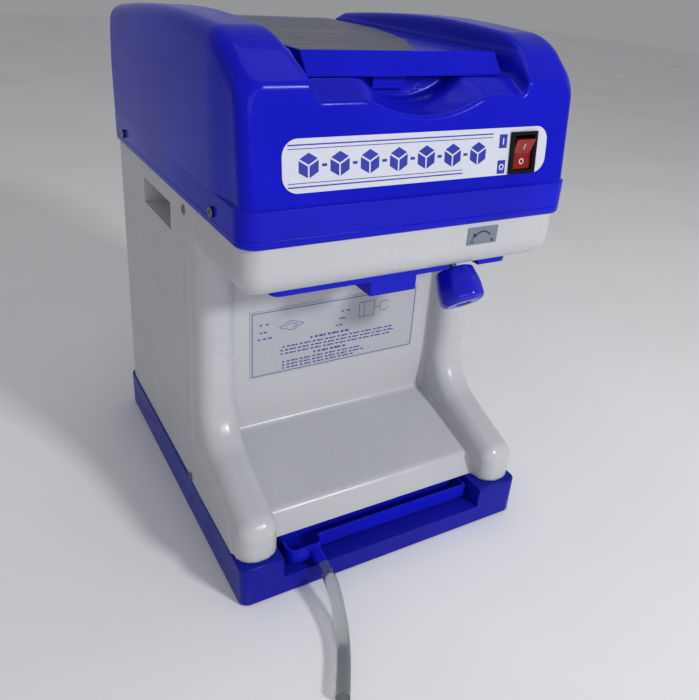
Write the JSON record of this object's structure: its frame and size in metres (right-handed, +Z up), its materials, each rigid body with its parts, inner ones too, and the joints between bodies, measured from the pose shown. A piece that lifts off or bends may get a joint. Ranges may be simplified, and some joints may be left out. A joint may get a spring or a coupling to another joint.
{
  "type": "ice shaver",
  "caption": "Electric ice shaver for a counter: hinged top lid over an ice drum, rotor and blade, serving bay with a fineness knob, mains switch and a base with a drain hose.",
  "frame": {"origin": "centre of the footprint on the surface that the machine stands on", "axes": "+X to the right of someone facing the machine, -Y out of its front, +Z up"},
  "size_m": [0.3118, 0.5004, 0.477],
  "materials": {
    "base_blue": "fine-grained moulded plastic",
    "hood_blue": "glossy moulded plastic",
    "casing_white": "satin moulded plastic",
    "label_white": "printed film",
    "label_grey": "printed film",
    "label_blue": "printed film",
    "black_plastic": "moulded plastic",
    "red_plastic": "translucent moulded plastic",
    "knob_plastic": "moulded plastic",
    "chute_plastic": "moulded plastic",
    "plate_plastic": "moulded plastic",
    "funnel_plastic": "moulded plastic",
    "capacitor_grey": "moulded can",
    "hose_clear": "soft clear hose",
    "rubber_black": "moulded rubber",
    "steel": "sheet and bar",
    "blade_steel": "ground edge",
    "screw_steel": "plated screws",
    "aluminium": "machined",
    "cast_aluminium": "as cast",
    "motor_iron": "laminated and varnished",
    "brass": "turned"
  },
  "bodies": {
    "machine": {"base_tray": "base_blue", "rubber_feet": "rubber_black", "foot_screws": "screw_steel", "drain_gutter": "hood_blue", "drain_spout": "hood_blue", "drain_hose": "hose_clear", "front_casing": "casing_white", "rear_casing": "casing_white", "casing_screws": "screw_steel", "hood": "hood_blue", "hood_screws": "screw_steel", "lid_hinge_pins": "steel", "lid_switch": "black_plastic", "front_label": "label_white", "switch_marks": "label_blue", "switch_housing": "black_plastic", "rocker_pin": "steel", "adjust_label": "label_grey", "instruction_label": "label_white", "bottom_plate": "plate_plastic", "ice_chute": "chute_plastic", "chute_screws": "screw_steel", "stem_bush": "brass", "stem_bracket": "aluminium", "drum_deck": "steel", "blade_plate": "aluminium", "ice_drum": "steel", "hopper_funnel": "funnel_plastic", "rotor_bearings": "steel", "drive_belt": "rubber_black", "motor_plate": "steel", "motor_top_bell": "cast_aluminium", "motor_low_bell": "cast_aluminium", "motor_stator": "motor_iron", "motor_bearings": "steel", "motor_screws": "screw_steel", "chassis_plate": "steel", "left_frame": "steel", "right_frame": "steel", "motor_capacitor": "capacitor_grey", "terminal_block": "funnel_plastic", "power_inlet": "black_plastic", "inlet_pins": "brass"},
    "lid": {"lid": "hood_blue"},
    "switch_rocker": {"rocker": "red_plastic"},
    "adjuster": {"adjuster_knob": "knob_plastic", "knob_screw": "screw_steel", "adjuster_stem": "steel"},
    "blade_carrier": {"blade": "blade_steel", "blade_holder": "aluminium", "blade_screws": "screw_steel"},
    "rotor": {"ice_rotor": "aluminium", "rotor_nut": "steel", "rotor_shaft": "steel", "rotor_pulley": "aluminium"},
    "motor_rotor": {"motor_shaft": "steel", "motor_armature": "motor_iron", "motor_pulley": "aluminium"},
    "plunger": {"switch_plunger": "red_plastic"}
  },
  "joints": [
    {"name": "lid_hinge", "type": "hinge", "parent": "machine", "child": "lid", "pos_m": [0, 0.158, 0.453], "axis": [-1, 0, 0], "range_deg": [0, 100]},
    {"name": "rocker_tilt", "type": "hinge", "parent": "machine", "child": "switch_rocker", "pos_m": [0.0935, -0.17284, 0.38861], "axis": [-1, 0, 0], "range_deg": [0, 22]},
    {"name": "knob_turn", "type": "hinge", "parent": "machine", "child": "adjuster", "pos_m": [0.0665, -0.1448, 0.2774], "axis": [0, -0.6428, -0.766], "range_deg": [-150, 150]},
    {"name": "blade_lift", "type": "slide", "parent": "machine", "child": "blade_carrier", "axis": [0, 0, 1], "range_m": [-0.0004, 0.0004]},
    {"name": "motor_spin", "type": "hinge", "parent": "machine", "child": "motor_rotor", "pos_m": [0, 0.045, 0.2], "axis": [0, 0, 1], "continuous": true},
    {"name": "rotor_spin", "type": "hinge", "parent": "machine", "child": "rotor", "pos_m": [0, -0.07, 0.32], "axis": [0, 0, 1], "continuous": true},
    {"name": "plunger_rise", "type": "slide", "parent": "machine", "child": "plunger", "axis": [0, 0, 1], "range_m": [0, 0.002]}
  ],
  "couplings": [
    {"joint": "knob_turn", "follows": "blade_lift", "rad_per_m": 6500},
    {"joint": "rotor_spin", "follows": "motor_spin", "ratio": 0.397},
    {"joint": "plunger_rise", "follows": "lid_hinge", "m_per_rad": 0.00114}
  ]
}
